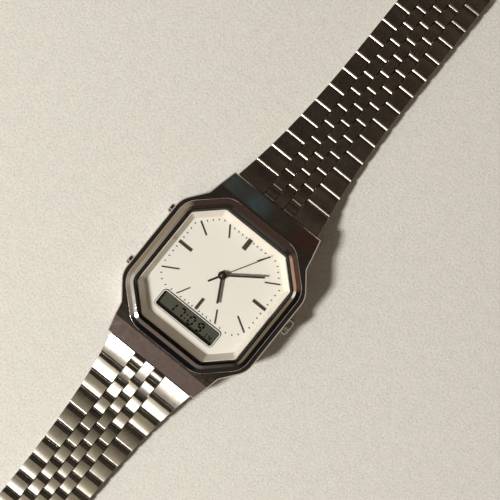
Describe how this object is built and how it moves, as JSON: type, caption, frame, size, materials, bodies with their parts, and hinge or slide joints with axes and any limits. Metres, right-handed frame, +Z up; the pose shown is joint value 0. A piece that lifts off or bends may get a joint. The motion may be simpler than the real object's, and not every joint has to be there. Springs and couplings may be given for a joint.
{
  "type": "wristwatch",
  "caption": "Steel wristwatch with an octagonal bezel, hands over a pale dial, a small digital window, side pushers and a five-column link bracelet lying open with its fold-over clasp.",
  "frame": {"origin": "on the underside of the case back, below the middle of the case", "axes": "+X towards three o'clock and the crown, +Y towards twelve o'clock along the open bracelet, +Z up out of the dial"},
  "size_m": [0.0333, 0.1934, 0.0081],
  "materials": {
    "case_steel": "polished steel with fine wear",
    "bezel_steel": "polished steel",
    "back_steel": "brushed steel",
    "crystal_glass": "clear mineral glass",
    "gasket": "black rubber",
    "reflector": "polished metal",
    "dial": "satin off-white paint",
    "marker": "dark brown-black",
    "window_frame": "dark printed border",
    "display": "grey-green liquid-crystal glass",
    "movement": "moulded plastic",
    "board": "green circuit board",
    "motor": "copper wire on steel",
    "battery": "nickel-plated steel",
    "spring_steel": "spring steel",
    "hand": "dark brown-black lacquer",
    "wheel": "brass",
    "control_steel": "polished steel",
    "link_steel": "brushed steel with polished edges",
    "pin_steel": "steel",
    "clasp_steel": "brushed steel"
  },
  "bodies": {
    "case": {"case_middle": "case_steel", "bezel_ring": "bezel_steel", "crystal": "crystal_glass", "crystal_gasket": "gasket", "reflector_ring": "reflector", "dial_plate": "dial", "hour_markers": "marker", "display_frame": "window_frame", "lcd_cell": "display", "movement_plate": "movement", "circuit_board": "board", "stepper_motor": "motor", "battery_cell": "battery", "battery_clamp": "spring_steel", "case_back": "back_steel", "back_gasket": "gasket", "spring_bars": "pin_steel", "upper_pusher_spring": "spring_steel", "lower_pusher_spring": "spring_steel"},
    "minute_set": {"minute_hand": "hand", "cannon_pinion": "wheel"},
    "hour_set": {"hour_hand": "hand", "hour_wheel": "wheel"},
    "minute_wheel": {"minute_wheel": "wheel"},
    "second_hand": {"second_hand": "hand"},
    "stem_yoke": {"stem_yoke": "spring_steel"},
    "crown": {"crown": "control_steel"},
    "upper_pusher": {"upper_pusher": "control_steel"},
    "lower_pusher": {"lower_pusher": "control_steel"},
    "upper_end_link": {"upper_end_link": "link_steel"},
    "upper_row_01": {"upper_row_01": "link_steel"},
    "upper_row_02": {"upper_row_02": "link_steel"},
    "upper_row_03": {"upper_row_03": "link_steel"},
    "upper_row_04": {"upper_row_04": "link_steel"},
    "upper_row_05": {"upper_row_05": "link_steel"},
    "upper_row_06": {"upper_row_06": "link_steel"},
    "upper_row_07": {"upper_row_07": "link_steel"},
    "upper_row_08": {"upper_row_08": "link_steel"},
    "upper_row_09": {"upper_row_09": "link_steel"},
    "upper_row_10": {"upper_row_10": "link_steel"},
    "upper_row_11": {"upper_row_11": "link_steel"},
    "upper_row_12": {"upper_row_12": "link_steel"},
    "upper_row_13": {"upper_row_13": "link_steel"},
    "upper_row_14": {"upper_row_14": "link_steel"},
    "ladder_plate": {"ladder_plate": "clasp_steel"},
    "lower_end_link": {"lower_end_link": "link_steel"},
    "lower_row_01": {"lower_row_01": "link_steel"},
    "lower_row_02": {"lower_row_02": "link_steel"},
    "lower_row_03": {"lower_row_03": "link_steel"},
    "lower_row_04": {"lower_row_04": "link_steel"},
    "lower_row_05": {"lower_row_05": "link_steel"},
    "lower_row_06": {"lower_row_06": "link_steel"},
    "lower_row_07": {"lower_row_07": "link_steel"},
    "lower_row_08": {"lower_row_08": "link_steel"},
    "lower_row_09": {"lower_row_09": "link_steel"},
    "lower_row_10": {"lower_row_10": "link_steel"},
    "lower_row_11": {"lower_row_11": "link_steel"},
    "clasp_cover": {"clasp_cover": "clasp_steel", "clasp_pins": "pin_steel"},
    "hook_plate": {"hook_plate": "clasp_steel"}
  },
  "joints": [
    {"name": "minute_hand_turn", "type": "hinge", "parent": "case", "child": "minute_set", "pos_m": [0, 0.0025, 0.006], "axis": [0, 0, -1], "continuous": true},
    {"name": "minute_wheel_turn", "type": "hinge", "parent": "case", "child": "minute_wheel", "pos_m": [0.0024, 0.0025, 0.0044], "axis": [0, 0, -1], "continuous": true},
    {"name": "hour_hand_turn", "type": "hinge", "parent": "case", "child": "hour_set", "pos_m": [0, 0.0025, 0.0055], "axis": [0, 0, -1], "continuous": true},
    {"name": "second_hand_turn", "type": "hinge", "parent": "case", "child": "second_hand", "pos_m": [0, 0.0025, 0.0064], "axis": [0, 0, -1], "continuous": true},
    {"name": "crown_pull", "type": "slide", "parent": "case", "child": "stem_yoke", "axis": [1, 0, 0], "range_m": [0, 0.0009]},
    {"name": "crown_turn", "type": "hinge", "parent": "stem_yoke", "child": "crown", "pos_m": [0.0155, 0.0025, 0.0033], "axis": [1, 0, 0], "continuous": true},
    {"name": "upper_pusher_press", "type": "slide", "parent": "case", "child": "upper_pusher", "axis": [1, 0, 0], "range_m": [0, 0.0006], "stiffness_N_per_m": 400, "springref_m": -0.001, "deforming": ["upper_pusher_spring"]},
    {"name": "lower_pusher_press", "type": "slide", "parent": "case", "child": "lower_pusher", "axis": [1, 0, 0], "range_m": [0, 0.0006], "stiffness_N_per_m": 400, "springref_m": -0.001, "deforming": ["lower_pusher_spring"]},
    {"name": "upper_end_link_hinge", "type": "hinge", "parent": "case", "child": "upper_end_link", "pos_m": [0, 0.0184, 0.00315], "axis": [1, 0, 0], "range_deg": [-60, 2]},
    {"name": "upper_row_01_hinge", "type": "hinge", "parent": "upper_end_link", "child": "upper_row_01", "pos_m": [0, 0.0214, 0.00315], "axis": [-1, 0, 0], "range_deg": [-2, 14]},
    {"name": "upper_row_02_hinge", "type": "hinge", "parent": "upper_row_01", "child": "upper_row_02", "pos_m": [0, 0.02545, 0.00205], "axis": [1, 0, 0], "range_deg": [-32, 4]},
    {"name": "upper_row_03_hinge", "type": "hinge", "parent": "upper_row_02", "child": "upper_row_03", "pos_m": [0, 0.02959, 0.00132], "axis": [-1, 0, 0], "range_deg": [-4, 32]},
    {"name": "upper_row_04_hinge", "type": "hinge", "parent": "upper_row_03", "child": "upper_row_04", "pos_m": [0, 0.03377, 0.00095], "axis": [1, 0, 0], "range_deg": [-32, 4]},
    {"name": "upper_row_05_hinge", "type": "hinge", "parent": "upper_row_04", "child": "upper_row_05", "pos_m": [0, 0.03797, 0.00095], "axis": [-1, 0, 0], "range_deg": [-10, 28]},
    {"name": "upper_row_06_hinge", "type": "hinge", "parent": "upper_row_05", "child": "upper_row_06", "pos_m": [0, 0.04217, 0.00095], "axis": [1, 0, 0], "range_deg": [-28, 10]},
    {"name": "upper_row_07_hinge", "type": "hinge", "parent": "upper_row_06", "child": "upper_row_07", "pos_m": [0, 0.04637, 0.00095], "axis": [-1, 0, 0], "range_deg": [-10, 28]},
    {"name": "upper_row_08_hinge", "type": "hinge", "parent": "upper_row_07", "child": "upper_row_08", "pos_m": [0, 0.05057, 0.00095], "axis": [1, 0, 0], "range_deg": [-28, 10]},
    {"name": "upper_row_09_hinge", "type": "hinge", "parent": "upper_row_08", "child": "upper_row_09", "pos_m": [0, 0.05477, 0.00095], "axis": [-1, 0, 0], "range_deg": [-10, 28]},
    {"name": "upper_row_10_hinge", "type": "hinge", "parent": "upper_row_09", "child": "upper_row_10", "pos_m": [0, 0.05897, 0.00095], "axis": [1, 0, 0], "range_deg": [-28, 10]},
    {"name": "upper_row_11_hinge", "type": "hinge", "parent": "upper_row_10", "child": "upper_row_11", "pos_m": [0, 0.06317, 0.00095], "axis": [-1, 0, 0], "range_deg": [-10, 28]},
    {"name": "upper_row_12_hinge", "type": "hinge", "parent": "upper_row_11", "child": "upper_row_12", "pos_m": [0, 0.06737, 0.00095], "axis": [1, 0, 0], "range_deg": [-28, 10]},
    {"name": "upper_row_13_hinge", "type": "hinge", "parent": "upper_row_12", "child": "upper_row_13", "pos_m": [0, 0.07157, 0.00095], "axis": [-1, 0, 0], "range_deg": [-10, 28]},
    {"name": "upper_row_14_hinge", "type": "hinge", "parent": "upper_row_13", "child": "upper_row_14", "pos_m": [0, 0.07577, 0.00095], "axis": [1, 0, 0], "range_deg": [-28, 10]},
    {"name": "ladder_plate_hinge", "type": "hinge", "parent": "upper_row_14", "child": "ladder_plate", "pos_m": [0, 0.07997, 0.00095], "axis": [1, 0, 0], "range_deg": [-60, 30]},
    {"name": "lower_end_link_hinge", "type": "hinge", "parent": "case", "child": "lower_end_link", "pos_m": [0, -0.0184, 0.00315], "axis": [1, 0, 0], "range_deg": [-2, 60]},
    {"name": "lower_row_01_hinge", "type": "hinge", "parent": "lower_end_link", "child": "lower_row_01", "pos_m": [0, -0.0214, 0.00315], "axis": [-1, 0, 0], "range_deg": [-14, 2]},
    {"name": "lower_row_02_hinge", "type": "hinge", "parent": "lower_row_01", "child": "lower_row_02", "pos_m": [0, -0.02545, 0.00205], "axis": [-1, 0, 0], "range_deg": [-32, 4]},
    {"name": "lower_row_03_hinge", "type": "hinge", "parent": "lower_row_02", "child": "lower_row_03", "pos_m": [0, -0.02959, 0.00132], "axis": [1, 0, 0], "range_deg": [-4, 32]},
    {"name": "lower_row_04_hinge", "type": "hinge", "parent": "lower_row_03", "child": "lower_row_04", "pos_m": [0, -0.03377, 0.00095], "axis": [1, 0, 0], "range_deg": [-4, 32]},
    {"name": "lower_row_05_hinge", "type": "hinge", "parent": "lower_row_04", "child": "lower_row_05", "pos_m": [0, -0.03797, 0.00095], "axis": [-1, 0, 0], "range_deg": [-28, 10]},
    {"name": "lower_row_06_hinge", "type": "hinge", "parent": "lower_row_05", "child": "lower_row_06", "pos_m": [0, -0.04217, 0.00095], "axis": [-1, 0, 0], "range_deg": [-28, 10]},
    {"name": "lower_row_07_hinge", "type": "hinge", "parent": "lower_row_06", "child": "lower_row_07", "pos_m": [0, -0.04637, 0.00095], "axis": [1, 0, 0], "range_deg": [-10, 28]},
    {"name": "lower_row_08_hinge", "type": "hinge", "parent": "lower_row_07", "child": "lower_row_08", "pos_m": [0, -0.05057, 0.00095], "axis": [1, 0, 0], "range_deg": [-10, 28]},
    {"name": "lower_row_09_hinge", "type": "hinge", "parent": "lower_row_08", "child": "lower_row_09", "pos_m": [0, -0.05477, 0.00095], "axis": [-1, 0, 0], "range_deg": [-28, 10]},
    {"name": "lower_row_10_hinge", "type": "hinge", "parent": "lower_row_09", "child": "lower_row_10", "pos_m": [0, -0.05897, 0.00095], "axis": [-1, 0, 0], "range_deg": [-28, 10]},
    {"name": "lower_row_11_hinge", "type": "hinge", "parent": "lower_row_10", "child": "lower_row_11", "pos_m": [0, -0.06317, 0.00095], "axis": [1, 0, 0], "range_deg": [-10, 28]},
    {"name": "clasp_cover_hinge", "type": "hinge", "parent": "lower_row_11", "child": "clasp_cover", "pos_m": [0, -0.06737, 0.00095], "axis": [1, 0, 0], "range_deg": [-20, 40]},
    {"name": "hook_plate_fold", "type": "hinge", "parent": "clasp_cover", "child": "hook_plate", "pos_m": [0, -0.09177, 0.00095], "axis": [-1, 0, 0], "range_deg": [0, 150]}
  ],
  "couplings": [
    {"joint": "minute_wheel_turn", "follows": "minute_hand_turn", "ratio": -0.33333},
    {"joint": "hour_hand_turn", "follows": "minute_hand_turn", "ratio": 0.083333}
  ]
}
